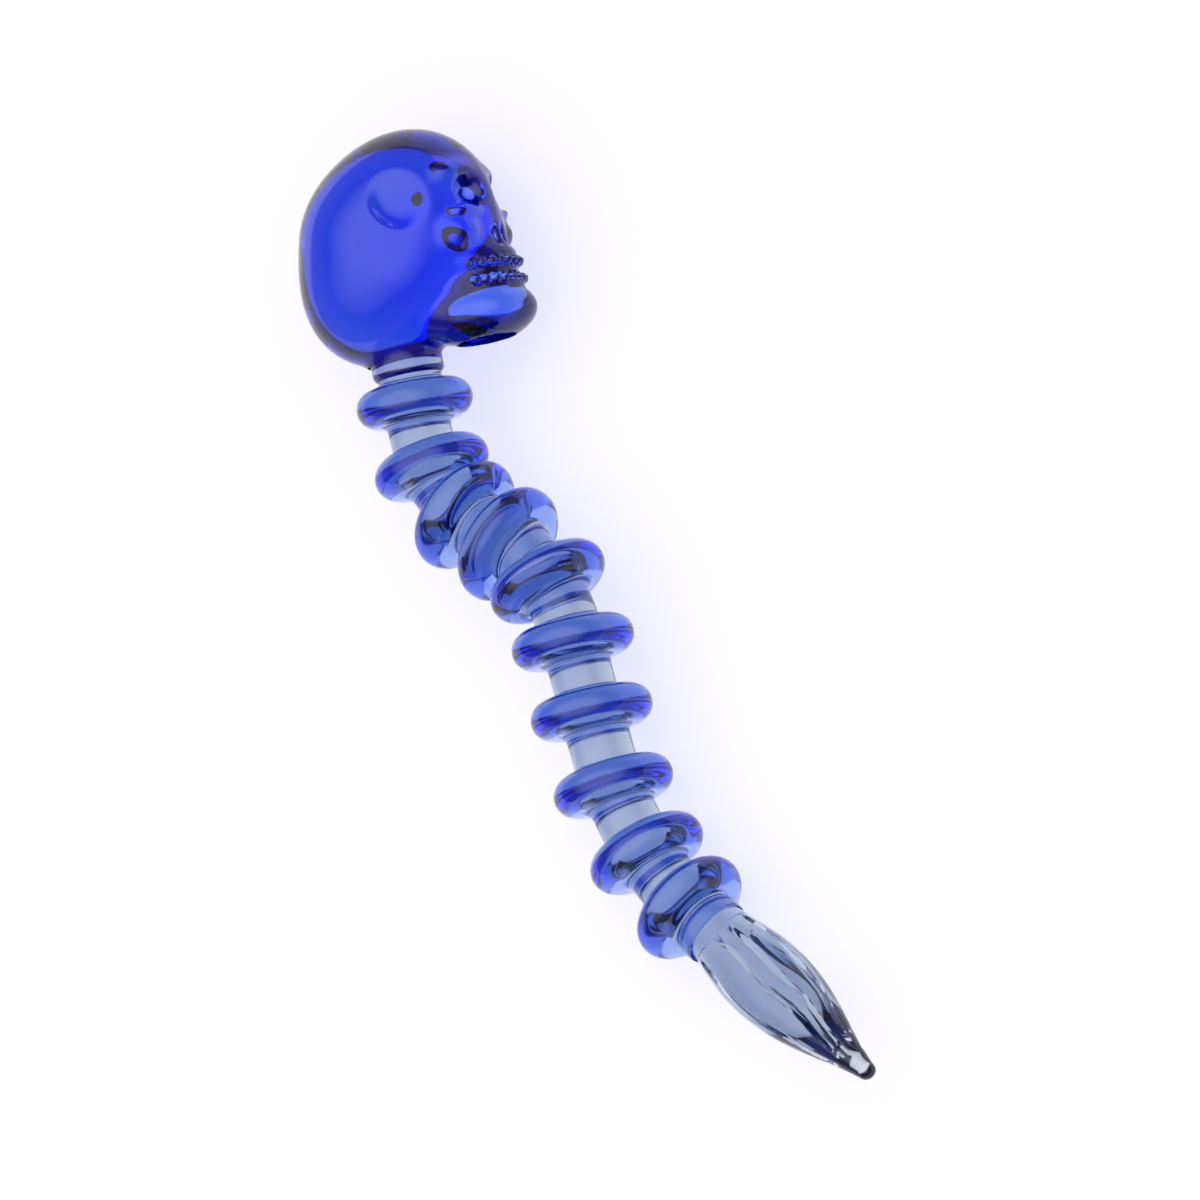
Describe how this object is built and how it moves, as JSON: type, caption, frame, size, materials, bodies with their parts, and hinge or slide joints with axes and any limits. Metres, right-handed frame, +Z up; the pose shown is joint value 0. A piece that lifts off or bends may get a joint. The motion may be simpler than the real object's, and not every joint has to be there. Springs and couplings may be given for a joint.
{
  "type": "glass dip pen",
  "caption": "Solid cobalt glass dip pen: bent rod handle with round-edged rings, skull finial and a leaf-shaped fluted nib.",
  "frame": {"origin": "on the table under the middle of the pen's box, as the pen lies at rest", "axes": "+Z up from the table, +X along the pen towards the nib, +Y to the side that the skull faces"},
  "size_m": [0.1738, 0.0408, 0.0291],
  "materials": {
    "cobalt_glass": "fire-polished transparent cobalt blue glass"
  },
  "bodies": {
    "root": {"skull": "cobalt_glass", "jaw": "cobalt_glass", "cheekbone_left": "cobalt_glass", "cheekbone_right": "cobalt_glass", "upper_teeth": "cobalt_glass", "lower_teeth": "cobalt_glass", "neck_collar": "cobalt_glass", "core_rod": "cobalt_glass", "ring_01": "cobalt_glass", "ring_02": "cobalt_glass", "ring_03": "cobalt_glass", "ring_04": "cobalt_glass", "ring_05": "cobalt_glass", "ring_06": "cobalt_glass", "ring_07": "cobalt_glass", "ring_08": "cobalt_glass", "ring_09": "cobalt_glass", "ring_10": "cobalt_glass", "nib_collar": "cobalt_glass", "nib": "cobalt_glass"}
  },
  "joints": []
}
